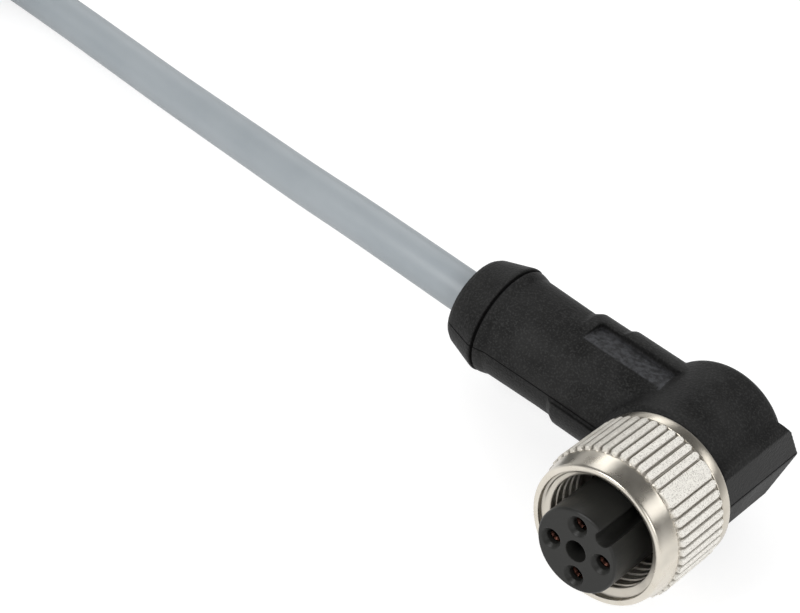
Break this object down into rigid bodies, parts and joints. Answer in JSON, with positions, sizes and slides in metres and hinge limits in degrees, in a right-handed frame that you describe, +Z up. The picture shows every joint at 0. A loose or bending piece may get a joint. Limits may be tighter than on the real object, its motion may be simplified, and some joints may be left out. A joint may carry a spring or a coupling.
{
  "type": "m12 connector",
  "caption": "Right-angled M12 female connector moulded on a round cable: freely turning knurled nut, keyed contact carrier with a seal, and a bare far end.",
  "frame": {"origin": "centre of the coupling nut's mouth, on the mating axis", "axes": "-Y points out of the mouth towards the mate; -X is where the cable leaves; +Z is up, and the part lies on the plane z = -7.45 mm"},
  "size_m": [0.1775, 0.0668, 0.0196],
  "materials": {
    "housing": "fine spark-eroded grain, satin",
    "inner_plastic": "moulded, satin",
    "carrier_plastic": "smooth moulded, satin",
    "contact_plate": "gold flash over nickel",
    "seal_rubber": "smooth",
    "nut_plate": "bright nickel plate over brass",
    "brown_insulation": "extruded",
    "white_insulation": "extruded",
    "blue_insulation": "extruded",
    "black_insulation": "extruded",
    "cable_jacket": "extruded, satin",
    "tie_plastic": "moulded",
    "tinned_strand": "tinned copper strands"
  },
  "bodies": {
    "cordset": {"housing": "housing", "inner_cap": "inner_plastic", "contact_carrier": "carrier_plastic", "contact_1": "contact_plate", "contact_2": "contact_plate", "contact_3": "contact_plate", "contact_4": "contact_plate", "seal_ring": "seal_rubber", "brown_core": "brown_insulation", "white_core": "white_insulation", "blue_core": "blue_insulation", "black_core": "black_insulation", "cable": "cable_jacket", "cable_coil": "cable_jacket", "cable_tail": "cable_jacket", "coil_tie_1": "tie_plastic", "coil_tie_2": "tie_plastic", "brown_wire_end": "tinned_strand", "white_wire_end": "tinned_strand", "blue_wire_end": "tinned_strand", "black_wire_end": "tinned_strand"},
    "nut": {"coupling_nut": "nut_plate"}
  },
  "joints": [
    {"name": "nut_spin", "type": "hinge", "parent": "cordset", "child": "nut", "pos_m": [0, 0, 0], "axis": [0, -1, 0], "continuous": true}
  ]
}
